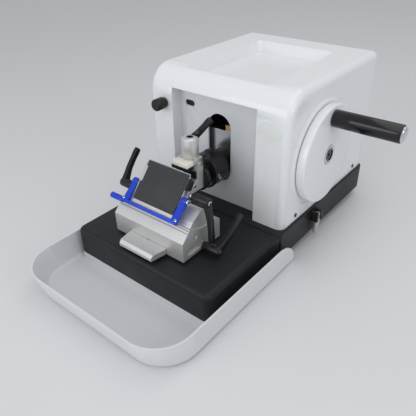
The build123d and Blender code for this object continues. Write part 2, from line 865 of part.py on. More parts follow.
def knob_bush():
    inner = knob_shaft_radius + shaft_play
    outer = knob_bush_radius
    rear = housing_front_y + shell_wall
    bush = tube("y", outer, inner, housing_front_y - 0.5, rear + 12, knob_x, window_z)
    return bush + tube("y", outer + 4, outer - 1, rear + stand_off, rear + stand_off + 4, knob_x,
                       window_z)


def thickness_cam():
    """A snail cam: its edge runs out evenly over one turn."""
    steps = 36
    outline = []
    for i in range(steps):
        angle = 2 * math.pi * i / steps
        radius = cam_radius - 8 * i / steps
        outline.append((radius * math.cos(angle), radius * math.sin(angle)))
    blank = extrude(Polygon(*outline, align=None), cam_thickness, dir=(0, 0, 1))
    blank -= Pos(0, 0, cam_thickness / 2) * Cylinder(knob_shaft_radius, cam_thickness + 2)
    return stand("y", knob_x, window_z) * Pos(0, 0, panel_rear_y + 8) * blank


def head_housing():
    body = rod("y", head_radius, head_front_y, head_rear_y, cut_x, arm_z)
    body = fillet(body.edges().sort_by(Axis.Y)[0], 1.5)
    body -= rod("y", ring_radius + 1.2, head_front_y - 1, ring_y + ring_width / 2 + 9, cut_x,
                arm_z)
    return body - rod("x", trunnion_radius + shaft_play, cut_x - head_radius - 1,
                      cut_x + head_radius + 1, ring_y, arm_z)


def tilt_ring():
    half = ring_width / 2
    ring = tube("y", ring_radius, ring_hole_radius, ring_y - half, ring_y + half, cut_x, arm_z)
    reach = head_radius - 0.6
    for side in (-1, 1):
        near, far = sorted((cut_x + side * (ring_radius - 3), cut_x + side * reach))
        ring += rod("x", trunnion_radius, near, far, ring_y, arm_z)
    return ring - rod("z", trunnion_radius + shaft_play, arm_z - head_radius,
                      arm_z + head_radius, cut_x, ring_y)


def swivel_plate():
    """The round plate that carries the clamp, with its stem and upright trunnions."""
    outline = [(0, swivel_front_y), (swivel_radius - 1.5, swivel_front_y),
               (swivel_radius, swivel_front_y + 1.5), (swivel_radius, swivel_front_y + 7),
               (stem_radius + 4, swivel_rear_y), (stem_radius, swivel_rear_y),
               (stem_radius, ring_y + 8), (0, ring_y + 8)]
    plate = turned("y", outline, cut_x, arm_z)
    reach = ring_radius - 0.8
    return plate + rod("z", trunnion_radius, arm_z - reach, arm_z + reach, cut_x, ring_y)


def clamp_body():
    """A C frame: lower jaw, rear column and an arch that carries the clamp post."""
    x0 = cut_x - clamp_width / 2
    x1 = cut_x + clamp_width / 2
    body = block(x0, x1, clamp_front_y, swivel_front_y, clamp_low_z, clamp_high_z)
    body -= block(x0 - 1, x1 + 1, clamp_front_y - 1, column_front_y, opening_low_z,
                  clamp_high_z + 1)
    body += block(x0, x1, post_y - post_radius + 2, column_front_y, clamp_high_z - 6,
                  clamp_high_z)
    nose = body.edges().filter_by(Axis.X).group_by(Axis.Z)[0].sort_by(Axis.Y)[0]
    body = chamfer(nose, clamp_nose)
    body = chamfer(body.edges().filter_by(Axis.Y).group_by(Axis.Z)[0], 2.0)
    slot = tongue_half + slip
    body -= block(cut_x - slot, cut_x + slot, column_front_y - 1,
                  column_front_y + tongue_reach + slip, upper_jaw_z - jaw_travel - 1,
                  clamp_high_z - 6)
    body += block(jaw_lever_x - 6.5, jaw_lever_x + 6.5, lug_front_y, swivel_front_y,
                  clamp_high_z - 1, jaw_lever_z + 8)
    body -= rod("y", lever_shaft_radius + shaft_play, lug_front_y - 1, swivel_front_y + 1,
                jaw_lever_x, jaw_lever_z)
    return body - rod("z", screw_shank_radius + shaft_play, clamp_high_z - 7, clamp_high_z + 1,
                      cut_x, post_y)


def clamp_post():
    top = clamp_high_z + post_height
    r = post_radius
    outline = [(0, clamp_high_z), (r, clamp_high_z), (r, top - 2), (r - 2, top), (0, top)]
    post = turned("z", outline, cut_x, post_y)
    post -= block(cut_x - 30, cut_x + 30, lug_front_y, lug_front_y + 20, clamp_high_z - 1,
                  top + 1)
    post -= rod("z", screw_shank_radius + shaft_play, clamp_high_z - 1, top, cut_x, post_y)
    return post - rod("z", screw_head_radius + slip, top - 5, top + 1, cut_x, post_y)


def clamp_screw():
    top = clamp_high_z + post_height
    head = rod("z", screw_head_radius, top - 4.6, top - 0.4, cut_x, post_y)
    shank = rod("z", screw_shank_radius, clamp_high_z - 6 - slip / 2, top - 4, cut_x, post_y)
    return head + shank - hex_socket("z", top - 3.4, top + 1, cut_x, post_y)


def moving_jaw():
    x0 = cut_x - clamp_width / 2 - 0.5
    x1 = cut_x + clamp_width / 2 + 0.5
    arch_front = post_y - post_radius + 2 - slip
    plate = block(x0, x1, clamp_front_y, arch_front, upper_jaw_z, clamp_high_z - 0.5)
    plate = fillet(plate.edges().filter_by(Axis.Z).group_by(Axis.Y)[0], 1.5)
    tongue = block(cut_x - tongue_half, cut_x + tongue_half, arch_front - 1,
                   column_front_y + tongue_reach, upper_jaw_z, clamp_high_z - 6 - slip)
    return plate + tongue


def jaw_lock_lever():
    angle = math.radians(50)
    piece = lever(3.6, 10.5, lever_arm - 15)
    return place_lever(piece, (jaw_lever_x, swivel_front_y + stand_off, jaw_lever_z),
                       (math.cos(angle), 0, math.sin(angle)), (0, 1, 0))


def orientation_knob():
    """An upright thumb screw at the right rear of the clamp."""
    x = cut_x + clamp_width / 2 + 5.5
    y = swivel_front_y + 3
    base = arm_z + 20
    outline = [(0, base), (2.5, base), (2.5, base + 8), (5.5, base + 9), (5.5, base + 20),
               (3, base + 21), (3, base + 29), (0, base + 30)]
    return turned("z", outline, x, y)


def slide_rail():
    rear = rail_front_y + rail_length
    stem_top = plate_top + rail_stem_height
    stem = block(cut_x - rail_stem_half, cut_x + rail_stem_half, rail_front_y + 18, rear,
                 plate_top, stem_top)
    tip_y = rail_front_y + 22
    outline = [(cut_x - rail_tip_half, rail_front_y), (cut_x + rail_tip_half, rail_front_y),
               (cut_x + rail_half, tip_y), (cut_x + rail_half, rear), (cut_x - rail_half, rear),
               (cut_x - rail_half, tip_y)]
    face = Plane.XY.offset(stem_top) * Polygon(*outline, align=None)
    flange = extrude(face, rail_flange, dir=(0, 0, 1))
    nose = flange.edges().filter_by(Axis.X).group_by(Axis.Y)[0].sort_by(Axis.Z)[-1]
    flange = chamfer(nose, rail_bevel - 1)
    rail = stem + flange
    for y in rail_screw_stations():
        rail -= rod("z", 5.2, rail_top - 5, rail_top + 1, cut_x, y)
    return rail


def rail_screw_stations():
    return [rail_front_y + 32, rail_front_y + rail_length / 2, rail_front_y + rail_length - 12]


def rail_screws():
    screws = []
    for y in rail_screw_stations():
        head = rod("z", 5.0, rail_top - 5, rail_top - 0.5, cut_x, y)
        screws.append(head - hex_socket("z", rail_top - 3.5, rail_top + 1, cut_x, y))
    return group(screws)


def holder_base():
    y0 = holder_front_y
    y1 = y0 + holder_depth
    shoulder = holder_bottom + holder_face_height
    lip_z = edge_z - lip_drop
    seat_front = edge_y - math.sqrt(seat_radius**2 - lip_drop**2)
    rear_top = edge_z - holder_rear_drop
    outline = [(y0, holder_bottom), (y0, shoulder), (y0 + lip_z - shoulder, lip_z),
               (seat_front + 2, lip_z), (edge_y, lip_z), (y1 - rear_ledge, lip_z),
               (y1 - rear_ledge, rear_top + 7), (y1, rear_top), (y1, holder_bottom)]
    body = side_prism(outline, holder_left, holder_right)
    body -= rod("x", seat_radius, holder_left - 1, holder_right + 1, edge_y, edge_z)
    body -= block(cut_x - rail_half - slip, cut_x + rail_half + slip, y0 - 1, y1 + 1,
                  holder_bottom - 1, rail_top + slip)
    under = plate_top + rail_stem_height - slip
    for side in (-1, 1):
        near, far = sorted((cut_x + side * (rail_stem_half + stand_off), cut_x + side * 46))
        gib = block(near, far, y0 + 3, y1 - 3, plate_top + 0.8, under)
        body += gib
        near, far = sorted((cut_x + side * (rail_half + slip), cut_x + side * 46))
        body += block(near, far, y0 + 3, y1 - 3, plate_top + 0.8, holder_bottom + 1)
    pocket = block(holder_right - 3, holder_right + 1, y0 + 10, y0 + 43, holder_bottom + 5,
                   holder_bottom + 17)
    body -= fillet(pocket.edges().filter_by(Axis.X), 4.0)
    body -= rod("x", 4.5, holder_right - 8, holder_right + 1, y0 + 26, holder_bottom + 29)
    return body - rod("x", lever_shaft_radius + shaft_play, cut_x + rail_half + slip - 1,
                      holder_right + 1, base_lever_y, base_lever_z)


def lever(shaft_length, hub_length, arm_length):
    """A clamping lever along Z: shaft below, round hub, and an arm that leaves along X."""
    shaft = Pos(0, 0, -shaft_length / 2) * Cylinder(lever_shaft_radius, shaft_length)
    r = hub_radius
    outline = [(0, 0), (r - 1.5, 0), (r, 2), (r, hub_length - 2.5), (r - 2.5, hub_length),
               (0, hub_length)]
    hub = revolve(Plane.XZ * Polygon(*outline, align=None), Axis.Z)
    tilt = math.atan2(lever_rise, arm_length)
    along = (math.cos(tilt), 0, math.sin(tilt))
    root = (2.0, 0, hub_length - lever_root_thickness / 2 - 1)
    reach = arm_length - lever_tip_radius
    tip = tuple(root[i] + along[i] * reach for i in range(3))
    section = Plane(origin=root, x_dir=(0, 1, 0), z_dir=along)
    end = Plane(origin=tip, x_dir=(0, 1, 0), z_dir=along)
    arm = loft([section * RectangleRounded(lever_root_width, lever_root_thickness, 2.5),
                end * RectangleRounded(2 * lever_tip_radius - 1, 2 * lever_tip_radius - 2, 3.2)])
    knob = Pos(*tip) * Sphere(lever_tip_radius)
    return shaft + hub + arm + knob


def place_lever(piece, origin, arm_direction, hub_direction):
    return Plane(origin=origin, x_dir=arm_direction, z_dir=hub_direction).location * piece


def base_lock_lever():
    start = holder_right + stand_off
    piece = lever(start - (cut_x + rail_half + slip + 1), 32.0, lever_arm - 2)
    direction = (0, math.cos(math.radians(45)), math.sin(math.radians(45)))
    return place_lever(piece, (start, base_lever_y, base_lever_z), direction, (1, 0, 0))


def tilt_segment():
    outline = [(edge_y + y, edge_z + z) for y, z in segment_outline]
    body = side_prism(outline, holder_left + 1.5, holder_right - 1.5)
    body &= rod("x", seat_radius - stand_off, holder_left, holder_right, edge_y, edge_z)
    return body - rod("x", lever_shaft_radius, holder_left, holder_left + 16, tilt_lever_y,
                      tilt_lever_z)


def tilt_lock_lever():
    start = holder_left - stand_off
    piece = lever(14.0, 25.0, lever_arm - 6)
    direction = (0, math.cos(math.radians(45)), math.sin(math.radians(45)))
    return place_lever(piece, (start, tilt_lever_y, tilt_lever_z), direction, (-1, 0, 0))


def blade_carriage():
    """The laterally sliding wedge whose upper face is the blade bed."""
    x0 = cut_x - carriage_left
    x1 = cut_x + carriage_right
    outline = [bed_point(3.0, -bed_gap), bed_point(67.0, -bed_gap),
               *[(edge_y + y, edge_z + z) for y, z in wedge_outline]]
    body = side_prism(outline, x0, x1)
    y, z = press_lever_place()
    body -= rod("x", lever_shaft_radius + shaft_play, cut_x + 10, x1 + 1, y, z)
    y, z = guard_pivot()
    for x in (x0, x1):
        body += rod("x", guard_pin_radius, x - guard_arm_width - 1.0, x + guard_arm_width + 1.0,
                    y, z)
    return body


def guard_pivot():
    return bed_point(37.0, -3.2)


def guard_bar_place():
    return bed_point(plate_bed_length + 8.2, 2.6)


def press_lever_place():
    return bed_point(27.0, -6.2)


def press_lever():
    start = cut_x + carriage_right + guard_arm_width + 3.0
    y, z = press_lever_place()
    piece = lever(start - cut_x - 12, 30.0, lever_arm)
    return place_lever(piece, (start, y, z), (0, 0, -1), (1, 0, 0))


def pressure_plate():
    """A tapered steel plate that holds the blade down, notched at its left edge."""
    top = plate_setback
    low = plate_bed_length
    outline = [bed_point(top, 0.05), bed_point(top, press_thick_top),
               bed_point(low, press_thick_bottom), bed_point(low, 0.05)]
    half = press_width / 2
    plate = side_prism(outline, cut_x - half, cut_x + half)
    y, z = bed_point(22.0, 0.0)
    notch = Pos(cut_x - half, y, z) * Rot(bed_angle, 0, 0) * Box(6.0, 24.0, 12.0)
    return plate - notch


def blade():
    half = press_width / 2 + 0.8
    outline = [bed_point(0.0, -0.02), bed_point(0.4, 0.02), bed_point(blade_width, 0.02),
               bed_point(blade_width, -blade_thickness), bed_point(0.8, -blade_thickness)]
    return side_prism(outline, cut_x - half, cut_x + half)


def side_support():
    x0 = cut_x + carriage_right
    outline = [bed_point(6.0, 1.0), bed_point(24.0, 1.0), bed_point(21.0, -8.0),
               bed_point(8.0, -8.0)]
    return side_prism(outline, x0, x0 + 4.5)


def finger_guard():
    """A bar in front of the blade on two arms, with a finger stub at its left end."""
    x0 = cut_x - carriage_left - 0.5 - guard_arm_width
    x1 = cut_x + carriage_right + 0.5 + guard_arm_width
    pivot_y, pivot_z = guard_pivot()
    bar_y, bar_z = guard_bar_place()
    slope = Rot(bed_angle, 0, 0)
    length = x1 - x0 + guard_stub
    bar = Pos((x0 - guard_stub + x1) / 2, bar_y, bar_z) * slope * Box(
        length, guard_bar_height, guard_bar_depth)
    guard = bar
    for left in (x0, x1 - guard_arm_width):
        centre_y = (pivot_y + bar_y) / 2
        centre_z = (pivot_z + bar_z) / 2
        reach = math.dist((pivot_y, pivot_z), (bar_y, bar_z))
        angle = math.degrees(math.atan2(pivot_z - bar_z, pivot_y - bar_y))
        arm = Pos(left + guard_arm_width / 2, centre_y, centre_z) * Rot(angle, 0, 0) * Box(
            guard_arm_width, reach, 6.5)
        eye = rod("x", 5.0, left, left + guard_arm_width, pivot_y, pivot_z)
        guard = guard + arm + eye
    return guard - rod("x", guard_pin_radius + shaft_play, x0 - 1, x1 + 1, pivot_y, pivot_z)


def guard_end_pin():
    x0 = cut_x - carriage_left - 0.5 - guard_arm_width - guard_stub
    bar_y, bar_z = guard_bar_place()
    return rod("x", 1.5, x0 - 3, x0, bar_y, bar_z)


def tray_form(inset, floor):
    """The tray's outer form, or the same form set in by its wall."""
    sections = []
    for z, side, front in ((floor, tray_half - tray_side_flare, tray_front_y + tray_front_flare),
                           (tray_height + 0.01 * inset, tray_half, tray_front_y)):
        half = side - inset
        front += inset
        rear = tray_arm_end_y
        sheet = Pos(tray_offset, (front + rear) / 2) * Rectangle(2 * half, rear - front)
        radius = tray_corner_radius - inset
        sheet = fillet(sheet.vertices().group_by(Axis.Y)[0], radius)
        sections.append(Plane.XY.offset(z) * sheet)
    body = loft(sections)
    low_edges = [e for e in body.faces().sort_by(Axis.Z)[0].edges()
                 if e.center().Y < tray_arm_end_y - 1]
    return fillet(low_edges, tray_bottom_radius - inset)


def waste_tray():
    tray = tray_form(0.0, 0.0) - tray_form(tray_wall, tray_wall)
    inner = tray_half - tray_side_flare - tray_wall - tray_lip
    tray -= block(tray_offset - inner, tray_offset + inner, tray_riser_y, tray_arm_end_y + 1, -1,
                  tray_height + 1)
    end = tray_arm_end_y - tray_height
    corner = block(tray_offset - 200, tray_offset + 200, end, tray_arm_end_y + 1, 0,
                   tray_height + 1)
    corner -= rod("x", tray_height, tray_offset - 200, tray_offset + 200, end, 0)
    tray -= corner
    tray += block(tray_offset - inner, tray_offset + inner, tray_riser_y - tray_wall,
                  tray_riser_y, 0, tray_shelf_height)
    tray += block(tray_offset - inner, tray_offset + inner, tray_riser_y - tray_wall,
                  tray_riser_y + tray_shelf_depth, tray_shelf_height - tray_wall,
                  tray_shelf_height)
    return tray


def build_pieces():
    places = foot_places()
    pieces = {
        "base_casting": base_casting(),
        "base_cover": base_cover(0.2),
        "rubber_feet": group([rubber_foot(x, y) for x, y in places]),
        "housing_shell": housing_shell(),
        "front_panel": front_panel(),
        "window_lens": window_lens(),
        "bearing_pedestal": bearing_pedestal(),
        "fixed_bushes": group([shaft_bushes(), coarse_bush(), knob_bush()]),
        "guide_frame": guide_frame(),
        "fixed_guide_rails": fixed_guide_rails(),
        "lock_bracket": group([lock_bracket(), lock_pin()]),
        "slide_rail": slide_rail(),
        "fixed_screws": group([rail_screws()] + [housing_screw(*p)
                                                 for p in housing_screw_places()]),
        "waste_tray": waste_tray(),
        "handwheel_disc": handwheel_disc(),
        "wheel_hub_ring": wheel_hub_ring(),
        "wheel_screw": wheel_screw(),
        "main_shaft": main_shaft(),
        "crank_disc": group([crank_disc(), counterweight()]),
        "crank_pin": crank_pin(),
        "handle_spindle": handle_spindle(),
        "handle_grip": handle_grip(),
        "grip_end_cap": grip_end_cap(),
        "wheel_lock_lever": wheel_lock_lever(),
        "slide_carriage": slide_carriage(),
        "brass_wiper": brass_wiper(),
        "moving_guide_rails": moving_guide_rails(),
        "guide_rollers": guide_rollers(),
        "yoke_plate": yoke_plate(),
        "screw_bracket": screw_bracket() + pawl_post(),
        "yoke_shoe": yoke_shoe(),
        "feed_cylinder": feed_cylinder(),
        "feed_nut": feed_nut(),
        "head_housing": head_housing(),
        "feed_screw": feed_screw(),
        "ratchet_wheel": ratchet_wheel(),
        "ratchet_pawl": ratchet_pawl(),
        "coarse_wheel": coarse_wheel(),
        "coarse_shaft": coarse_shaft(),
        "coarse_knob": coarse_knob(),
        "thickness_knob": thickness_knob(),
        "thickness_shaft": thickness_shaft() + thickness_cam(),
        "tilt_ring": tilt_ring(),
        "swivel_plate": swivel_plate(),
        "clamp_body": clamp_body(),
        "clamp_post": clamp_post(),
        "clamp_screw": clamp_screw(),
        "moving_jaw": moving_jaw(),
        "jaw_lock_lever": jaw_lock_lever(),
        "orientation_knob": orientation_knob(),
        "holder_base": holder_base(),
        "base_lock_lever": base_lock_lever(),
        "tilt_segment": tilt_segment(),
        "tilt_lock_lever": tilt_lock_lever(),
        "blade_carriage": blade_carriage(),
        "side_support": side_support(),
        "blade": blade(),
        "press_lever": press_lever(),
        "pressure_plate": pressure_plate(),
        "finger_guard": finger_guard() + guard_end_pin(),
    }
    return pieces


pieces = build_pieces()
whole = Compound([solid for piece in pieces.values() for solid in piece.solids()]).bounding_box()
shift = Pos(-whole.center().X, -whole.center().Y, -whole.min.Z)
os.makedirs("parts", exist_ok=True)
for name, piece in pieces.items():
    export_step(shift * piece, "parts/" + name + ".step")
print("pieces", len(pieces), "size", whole.size, "shift", shift.position)
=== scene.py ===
import bpy
import math
from mathutils import Matrix, Vector


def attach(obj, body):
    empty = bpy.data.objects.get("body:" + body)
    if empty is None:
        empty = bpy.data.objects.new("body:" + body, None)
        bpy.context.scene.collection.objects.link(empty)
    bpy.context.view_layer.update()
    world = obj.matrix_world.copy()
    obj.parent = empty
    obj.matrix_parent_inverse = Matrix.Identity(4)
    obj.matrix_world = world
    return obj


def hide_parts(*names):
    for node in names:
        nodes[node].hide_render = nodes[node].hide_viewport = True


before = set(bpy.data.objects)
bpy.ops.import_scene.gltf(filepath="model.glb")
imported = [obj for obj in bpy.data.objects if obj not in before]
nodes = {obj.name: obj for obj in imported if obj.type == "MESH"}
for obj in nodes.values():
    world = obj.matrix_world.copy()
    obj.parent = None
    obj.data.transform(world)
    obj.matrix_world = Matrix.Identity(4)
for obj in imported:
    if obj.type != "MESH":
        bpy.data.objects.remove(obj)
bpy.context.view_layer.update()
print("frame loaded:", len(nodes), "nodes")

# sizes below are in millimetres, measured from the front plate's front edge on the table
frameShift = (-44.45, -182.75, 0.0)


def spot(x, y, z):
    return Vector((x + frameShift[0], y + frameShift[1], z + frameShift[2])) / 1000


# finishes: every one is built from noise on Object coordinates

finishes = {
    "blackEnamel": dict(colour=(0.0115, 0.0125, 0.0145), worn=(0.017, 0.018, 0.0205), metallic=0.0,
                        rough=(0.40, 0.52), grain=1500, bump=0.3, depth=0.0002, coat=0.0,
                        shine=0.3),
    "whiteEnamel": dict(colour=(0.80, 0.815, 0.84), worn=(0.795, 0.81, 0.835), metallic=0.0,
                        rough=(0.25, 0.28), grain=60, bump=0.0, depth=0.00005, coat=0.2),
    "greyPanel": dict(colour=(0.69, 0.71, 0.74), worn=(0.68, 0.70, 0.73), metallic=0.0,
                      rough=(0.38, 0.44), grain=120, bump=0.02, depth=0.00005, coat=0.1),
    "trayPlastic": dict(colour=(0.70, 0.70, 0.73), worn=(0.69, 0.69, 0.72), metallic=0.0,
                        rough=(0.40, 0.48), grain=160, bump=0.03, depth=0.00006, coat=0.05),
    "blackPlastic": dict(colour=(0.0095, 0.0095, 0.011), worn=(0.015, 0.015, 0.017), metallic=0.0,
                         rough=(0.26, 0.34), grain=1300, bump=0.08, depth=0.0001, coat=0.0,
                         shine=0.38),
    "glossBlack": dict(colour=(0.006, 0.006, 0.007), worn=(0.008, 0.008, 0.009), metallic=0.0,
                       rough=(0.13, 0.16), grain=300, bump=0.0, depth=0.00005, coat=0.0,
                       shine=0.45),
    "softRubber": dict(colour=(0.02, 0.02, 0.021), worn=(0.05, 0.05, 0.05), metallic=0.0,
                       rough=(0.7, 0.9), grain=900, bump=0.3, depth=0.0002, coat=0.0),
    "satinAluminium": dict(colour=(0.68, 0.68, 0.675), worn=(0.63, 0.63, 0.625), metallic=0.72,
                           rough=(0.36, 0.46), grain=1800, bump=0.12, depth=0.0001, coat=0.0,
                           stretch=(0.06, 1.0, 1.0)),
    "groundSteel": dict(colour=(0.56, 0.57, 0.585), worn=(0.42, 0.43, 0.445), metallic=1.0,
                        rough=(0.2, 0.36), grain=2200, bump=0.10, depth=0.00008, coat=0.0,
                        stretch=(1.0, 0.05, 1.0)),
    "brightChrome": dict(colour=(0.78, 0.785, 0.80), worn=(0.66, 0.67, 0.69), metallic=1.0,
                         rough=(0.06, 0.16), grain=500, bump=0.02, depth=0.00005, coat=0.0),
    "burnishedBlack": dict(colour=(0.02, 0.02, 0.022), worn=(0.07, 0.07, 0.074), metallic=0.7,
                           rough=(0.32, 0.46), grain=1700, bump=0.12, depth=0.0001, coat=0.0),
    "machinedBrass": dict(colour=(0.60, 0.43, 0.19), worn=(0.42, 0.29, 0.12), metallic=0.95,
                          rough=(0.25, 0.42), grain=1500, bump=0.08, depth=0.0001, coat=0.0),
    "greyIron": dict(colour=(0.20, 0.205, 0.215), worn=(0.12, 0.125, 0.13), metallic=0.5,
                     rough=(0.5, 0.7), grain=1100, bump=0.3, depth=0.0002, coat=0.0),
    "blueAnodised": dict(colour=(0.012, 0.06, 0.62), worn=(0.02, 0.09, 0.72), metallic=0.45,
                         rough=(0.26, 0.38), grain=1600, bump=0.08, depth=0.0001, coat=0.2,
                         stretch=(0.08, 1.0, 1.0)),
    "charcoalMatt": dict(colour=(0.034, 0.035, 0.039), worn=(0.04, 0.041, 0.045), metallic=0.2,
                         rough=(0.5, 0.58), grain=1700, bump=0.1, depth=0.0001, coat=0.0),
    "limeMark": dict(colour=(0.16, 0.56, 0.02), worn=(0.14, 0.5, 0.02), metallic=0.0,
                     rough=(0.3, 0.4), grain=800, bump=0.05, depth=0.0001, coat=0.2),
    "warmSteel": dict(colour=(0.60, 0.575, 0.53), worn=(0.54, 0.515, 0.47), metallic=0.8,
                      rough=(0.26, 0.36), grain=1500, bump=0.08, depth=0.0001, coat=0.0),
    "platePolymer": dict(colour=(0.80, 0.83, 0.815), worn=(0.77, 0.80, 0.785), metallic=0.1,
                         rough=(0.2, 0.32), grain=600, bump=0.04, depth=0.0001, coat=0.5),
    # flat near-black finish used only as painted shade: the groove strips on the holder and the
    # lock hole
    "paintedHollowShade": dict(colour=(0.03, 0.03, 0.033), worn=(0.05, 0.05, 0.053), metallic=0.0,
                     rough=(0.6, 0.8), grain=900, bump=0.1, depth=0.0001, coat=0.0),
    "creamEnamel": dict(colour=(0.78, 0.75, 0.66), worn=(0.66, 0.63, 0.54), metallic=0.0,
                        rough=(0.32, 0.5), grain=900, bump=0.1, depth=0.0001, coat=0.1),
}


def makeFinish(name, colour, worn, metallic, rough, grain, bump, depth, coat,
               stretch=(1.0, 1.0, 1.0), shine=0.5):
    material = bpy.data.materials.new(name)
    material.use_nodes = True
    tree = material.node_tree
    shader = tree.nodes["Principled BSDF"]
    shader.inputs["Metallic"].default_value = metallic
    shader.inputs["Coat Weight"].default_value = coat
    shader.inputs["Specular IOR Level"].default_value = shine
    shader.inputs["Coat Roughness"].default_value = 0.08
    coords = tree.nodes.new("ShaderNodeTexCoord")
    mapping = tree.nodes.new("ShaderNodeMapping")
    mapping.inputs["Scale"].default_value = stretch
    tree.links.new(coords.outputs["Object"], mapping.inputs["Vector"])
    fine = tree.nodes.new("ShaderNodeTexNoise")      # the grain that the light catches
    fine.inputs["Scale"].default_value = grain
    fine.inputs["Detail"].default_value = 3
    tree.links.new(mapping.outputs["Vector"], fine.inputs["Vector"])
    broad = tree.nodes.new("ShaderNodeTexNoise")     # slow change from handling and cleaning
    broad.inputs["Scale"].default_value = 14
    broad.inputs["Detail"].default_value = 5
    tree.links.new(coords.outputs["Object"], broad.inputs["Vector"])
    tint = tree.nodes.new("ShaderNodeValToRGB")
    tint.color_ramp.elements[0].position = 0.35
    tint.color_ramp.elements[0].color = (*worn, 1)
    tint.color_ramp.elements[1].position = 0.55
    tint.color_ramp.elements[1].color = (*colour, 1)
    both = tree.nodes.new("ShaderNodeMath")
    both.operation = "MULTIPLY_ADD"
    both.inputs[1].default_value = 0.35
    tree.links.new(fine.outputs["Fac"], both.inputs[0])
    tree.links.new(broad.outputs["Fac"], both.inputs[2])
    shift = tree.nodes.new("ShaderNodeMath")
    shift.operation = "SUBTRACT"
    shift.inputs[1].default_value = 0.12
    tree.links.new(both.outputs[0], shift.inputs[0])
    tree.links.new(shift.outputs[0], tint.inputs["Fac"])
    tree.links.new(tint.outputs["Color"], shader.inputs["Base Color"])
    gloss = tree.nodes.new("ShaderNodeMapRange")
    gloss.inputs["From Min"].default_value = 0.3
    gloss.inputs["From Max"].default_value = 0.7
    gloss.inputs["To Min"].default_value = rough[0]
    gloss.inputs["To Max"].default_value = rough[1]
    tree.links.new(broad.outputs["Fac"], gloss.inputs["Value"])
    tree.links.new(gloss.outputs["Result"], shader.inputs["Roughness"])
    relief = tree.nodes.new("ShaderNodeBump")
    relief.inputs["Strength"].default_value = bump
    relief.inputs["Distance"].default_value = depth
    tree.links.new(fine.outputs["Fac"], relief.inputs["Height"])
    tree.links.new(relief.outputs["Normal"], shader.inputs["Normal"])
    return material


materials = {name: makeFinish(name, **values) for name, values in finishes.items()}
print("finishes made:", len(materials))

nodeFinish = {
    "blackEnamel": ["base_casting"],
    "whiteEnamel": ["housing_shell", "handwheel_disc"],
    "greyPanel": ["front_panel"],
    "trayPlastic": ["waste_tray"],
    "blackPlastic": ["coarse_wheel", "coarse_knob", "thickness_knob", "head_housing",
                     "swivel_plate", "jaw_lock_lever", "base_lock_lever", "tilt_lock_lever",
                     "press_lever"],
    "glossBlack": ["handle_grip", "window_lens"],
    "softRubber": ["rubber_feet"],
    "satinAluminium": ["slide_rail", "screw_bracket", "clamp_body", "clamp_post", "holder_base",
                       "tilt_segment", "blade_carriage"],
    "groundSteel": ["fixed_guide_rails", "main_shaft", "crank_pin", "handle_spindle",
                    "slide_carriage", "moving_guide_rails", "guide_rollers", "yoke_plate",
                    "feed_screw", "ratchet_wheel", "coarse_shaft", "thickness_shaft",
                    "tilt_ring", "blade"],
    "brightChrome": ["wheel_hub_ring", "grip_end_cap"],
    "burnishedBlack": ["base_cover", "lock_bracket", "fixed_screws", "wheel_screw",
                       "ratchet_pawl", "clamp_screw", "orientation_knob", "side_support",
                       "feed_cylinder"],
    "charcoalMatt": ["pressure_plate"],
    "warmSteel": ["wheel_lock_lever"],
    "machinedBrass": ["fixed_bushes", "brass_wiper", "yoke_shoe", "feed_nut"],
    "greyIron": ["bearing_pedestal", "guide_frame", "crank_disc"],
    "blueAnodised": ["finger_guard"],
    "creamEnamel": ["moving_jaw"],
}


def dressNode(node, finish, edge):
    obj = nodes[node]
    obj.data.materials.clear()
    obj.data.materials.append(materials[finish])
    weld = obj.modifiers.new("weld", "WELD")
    weld.merge_threshold = 0.00001
    if edge:
        soft = obj.modifiers.new("softEdges", "BEVEL")
        soft.width = edge / 1000
        soft.segments = 2
        soft.limit_method = "ANGLE"
        soft.angle_limit = math.radians(35)
        soft.harden_normals = True


edgeWidth = {"base_casting": 0.8, "housing_shell": 0.9, "front_panel": 0.5, "waste_tray": 0.9,
             "holder_base": 0.6, "tilt_segment": 0.5, "blade_carriage": 0.4, "slide_rail": 0.6,
             "clamp_body": 0.5, "moving_jaw": 0.5, "finger_guard": 0.6, "pressure_plate": 0.25,
             "wheel_lock_lever": 0.5, "lock_bracket": 0.4, "handwheel_disc": 0.5,
             "clamp_post": 0.5, "screw_bracket": 0.5, "slide_carriage": 0.5,
             "guide_frame": 0.8}
for finish, members in nodeFinish.items():
    for node in members:
        dressNode(node, finish, edgeWidth.get(node, 0.0))
print("nodes dressed:", sum(len(members) for members in nodeFinish.values()))

# modelling helpers: every place is in millimetres, in the frame of the sizes above


def clearSelection():
    if bpy.context.object and bpy.context.object.mode != "OBJECT":
        bpy.ops.object.mode_set(mode="OBJECT")
    bpy.ops.object.select_all(action="DESELECT")


def applyPlace(piece):
    clearSelection()
    piece.select_set(True)
    bpy.context.view_layer.objects.active = piece
    bpy.ops.object.transform_apply(location=True, rotation=True, scale=True)


def pickFaces(piece, wanted):
    clearSelection()
    piece.select_set(True)
    bpy.context.view_layer.objects.active = piece
    bpy.ops.object.mode_set(mode="EDIT")
    bpy.ops.mesh.select_mode(type="FACE")
    bpy.ops.mesh.select_all(action="DESELECT")
    bpy.ops.object.mode_set(mode="OBJECT")
    for face in piece.data.polygons:
        face.select = bool(wanted(face))
    bpy.ops.object.mode_set(mode="EDIT")


def closeMesh():
    bpy.ops.mesh.select_all(action="SELECT")
    bpy.ops.mesh.remove_doubles(threshold=0.000001)
    bpy.ops.mesh.normals_make_consistent(inside=False)
    bpy.ops.object.mode_set(mode="OBJECT")


# a turned form: (radius, distance) rings from the first disc to the last

